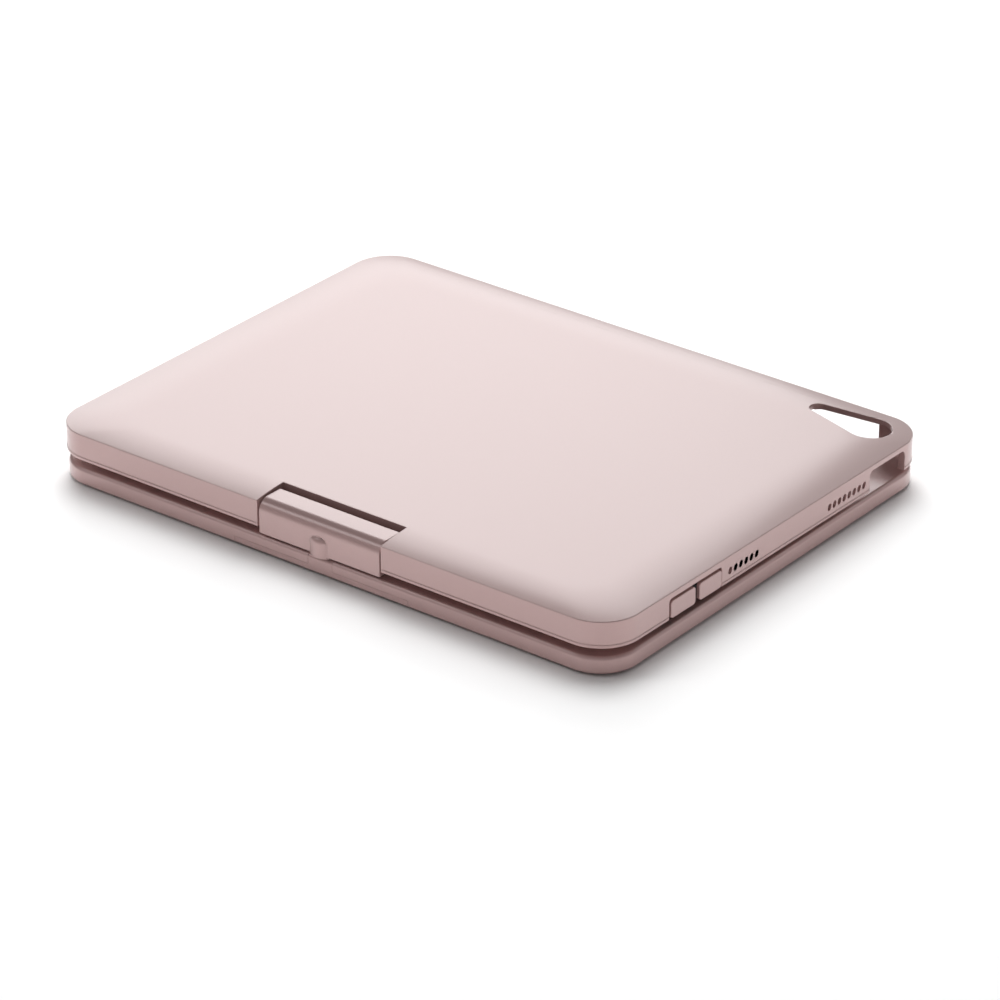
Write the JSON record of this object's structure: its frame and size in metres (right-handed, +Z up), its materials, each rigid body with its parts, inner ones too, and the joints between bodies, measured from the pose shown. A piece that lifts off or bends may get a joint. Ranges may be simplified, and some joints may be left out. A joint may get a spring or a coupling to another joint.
{
  "type": "tablet keyboard case",
  "caption": "Hard swivel keyboard case for a small tablet: keyboard base, round-turning hinge bracket and a folding lid tray with a camera window.",
  "frame": {"origin": "middle of the case's outline, on the surface that its feet stand on", "axes": "+X along the hinge, +Y to the hinge edge, +Z up out of the shut lid"},
  "size_m": [0.2, 0.152, 0.0178],
  "materials": {
    "rose_paint": "satin metallic paint on moulded plastic",
    "dark_rose_plastic": "satin",
    "key_plastic": "matt",
    "touchpad_plastic": "fine matt",
    "hinge_steel": "stamped",
    "screw_steel": "bright",
    "zinc": "die cast",
    "bronze": "turned",
    "white_plastic": "smooth",
    "black_rubber": "matt",
    "liner_felt": "short pile",
    "black_plastic": "matt",
    "circuit_board": "solder mask",
    "cell_foil": "foil",
    "lead_red": "smooth",
    "lens_clear": "frosted",
    "magnet_nickel": "plated"
  },
  "bodies": {
    "base": {"swivel_post": "hinge_steel", "thrust_washer": "white_plastic", "retaining_clip": "hinge_steel", "post_screws": "screw_steel", "hinge_cover": "rose_paint", "base_top_case": "rose_paint", "base_bottom_cover": "dark_rose_plastic", "case_screws": "screw_steel", "rubber_feet": "black_rubber", "bumper_pads": "black_rubber", "key_domes": "black_rubber", "key_membrane": "black_plastic", "key_base_plate": "hinge_steel", "touchpad_board": "circuit_board", "touchpad_switch": "hinge_steel", "battery_cell": "cell_foil", "controller_board": "circuit_board", "battery_leads": "lead_red", "charging_socket": "hinge_steel", "switch_body": "black_plastic", "indicator_lenses": "lens_clear", "closing_magnets": "magnet_nickel"},
    "bracket": {"bracket_cover": "rose_paint", "hinge_core": "zinc", "fold_sleeves": "bronze", "bracket_screws": "screw_steel", "top_washer": "hinge_steel"},
    "lid": {"back_shell": "rose_paint", "chin_covers": "rose_paint", "tray_liner": "liner_felt", "button_web": "black_rubber", "left_hinge_leaf": "hinge_steel", "right_hinge_leaf": "hinge_steel", "leaf_screws": "screw_steel", "chin_screws": "screw_steel"},
    "volume_up": {"volume_up_button": "rose_paint"},
    "volume_down": {"volume_down_button": "rose_paint"},
    "function_row": {"function_row_keys": "key_plastic"},
    "number_row": {"number_row_keys": "key_plastic"},
    "upper_row": {"upper_row_keys": "key_plastic"},
    "home_row": {"home_row_keys": "key_plastic"},
    "lower_row": {"lower_row_keys": "key_plastic"},
    "modifier_row": {"modifier_keys": "key_plastic"},
    "space": {"space_bar": "key_plastic"},
    "pad": {"touchpad": "touchpad_plastic"},
    "switch": {"power_switch": "dark_rose_plastic"}
  },
  "joints": [
    {"name": "hinge_swivel", "type": "hinge", "parent": "base", "child": "bracket", "pos_m": [0, 0.0712, 0.009], "axis": [0, 0, 1], "continuous": true},
    {"name": "hinge_fold", "type": "hinge", "parent": "bracket", "child": "lid", "pos_m": [0, 0.0696, 0.0132], "axis": [-1, 0, 0], "range_deg": [0, 130]},
    {"name": "volume_up_press", "type": "slide", "parent": "lid", "child": "volume_up", "axis": [1, 0, 0], "range_m": [0, 0.0005], "stiffness_N_per_m": 2500, "springref_m": -0.0002, "deforming": ["button_web"]},
    {"name": "volume_down_press", "type": "slide", "parent": "lid", "child": "volume_down", "axis": [1, 0, 0], "range_m": [0, 0.0005], "stiffness_N_per_m": 2500, "springref_m": -0.0002, "deforming": ["button_web"]},
    {"name": "key_press_function_row", "type": "slide", "parent": "base", "child": "function_row", "axis": [0, 0, -1], "range_m": [0, 0.001], "stiffness_N_per_m": 600, "springref_m": -0.0006, "deforming": ["key_domes"]},
    {"name": "key_press_number_row", "type": "slide", "parent": "base", "child": "number_row", "axis": [0, 0, -1], "range_m": [0, 0.001], "stiffness_N_per_m": 600, "springref_m": -0.0006, "deforming": ["key_domes"]},
    {"name": "key_press_upper_row", "type": "slide", "parent": "base", "child": "upper_row", "axis": [0, 0, -1], "range_m": [0, 0.001], "stiffness_N_per_m": 600, "springref_m": -0.0006, "deforming": ["key_domes"]},
    {"name": "key_press_home_row", "type": "slide", "parent": "base", "child": "home_row", "axis": [0, 0, -1], "range_m": [0, 0.001], "stiffness_N_per_m": 600, "springref_m": -0.0006, "deforming": ["key_domes"]},
    {"name": "key_press_lower_row", "type": "slide", "parent": "base", "child": "lower_row", "axis": [0, 0, -1], "range_m": [0, 0.001], "stiffness_N_per_m": 600, "springref_m": -0.0006, "deforming": ["key_domes"]},
    {"name": "key_press_modifier_row", "type": "slide", "parent": "base", "child": "modifier_row", "axis": [0, 0, -1], "range_m": [0, 0.001], "stiffness_N_per_m": 600, "springref_m": -0.0006, "deforming": ["key_domes"]},
    {"name": "key_press_space", "type": "slide", "parent": "base", "child": "space", "axis": [0, 0, -1], "range_m": [0, 0.001], "stiffness_N_per_m": 600, "springref_m": -0.0006, "deforming": ["key_domes"]},
    {"name": "touchpad_press", "type": "slide", "parent": "base", "child": "pad", "axis": [0, 0, -1], "range_m": [0, 0.0003], "stiffness_N_per_m": 2500, "springref_m": -0.0002},
    {"name": "power_switch_slide", "type": "slide", "parent": "base", "child": "switch", "axis": [0, 1, 0], "range_m": [0, 0.003]}
  ]
}
